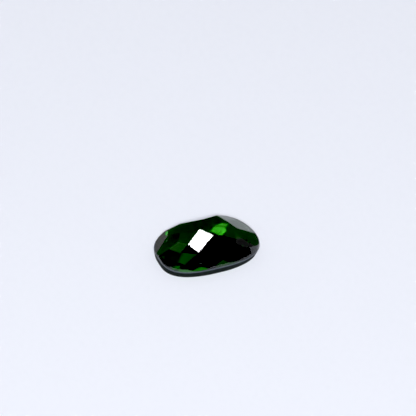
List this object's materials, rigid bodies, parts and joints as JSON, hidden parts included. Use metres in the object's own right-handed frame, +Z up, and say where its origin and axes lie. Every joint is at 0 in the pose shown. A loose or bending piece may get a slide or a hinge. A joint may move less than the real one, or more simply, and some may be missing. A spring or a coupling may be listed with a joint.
{
  "type": "cut chrome diopside",
  "caption": "Loose cushion-cut chrome diopside: domed checkerboard crown, thin girdle, shallow bevelled back and a flat base to rest on.",
  "frame": {"origin": "middle of the stone's outline, at the level of the flat base it rests on", "axes": "+X along the stone's length, +Y across its width, +Z up through the crown"},
  "size_m": [0.009, 0.006, 0.003],
  "materials": {
    "diopside_crystal": "polished clear crystal, very deep green, with a finely frosted girdle and a dull ring below it"
  },
  "bodies": {
    "root": {"chrome_diopside": "diopside_crystal"}
  },
  "joints": []
}
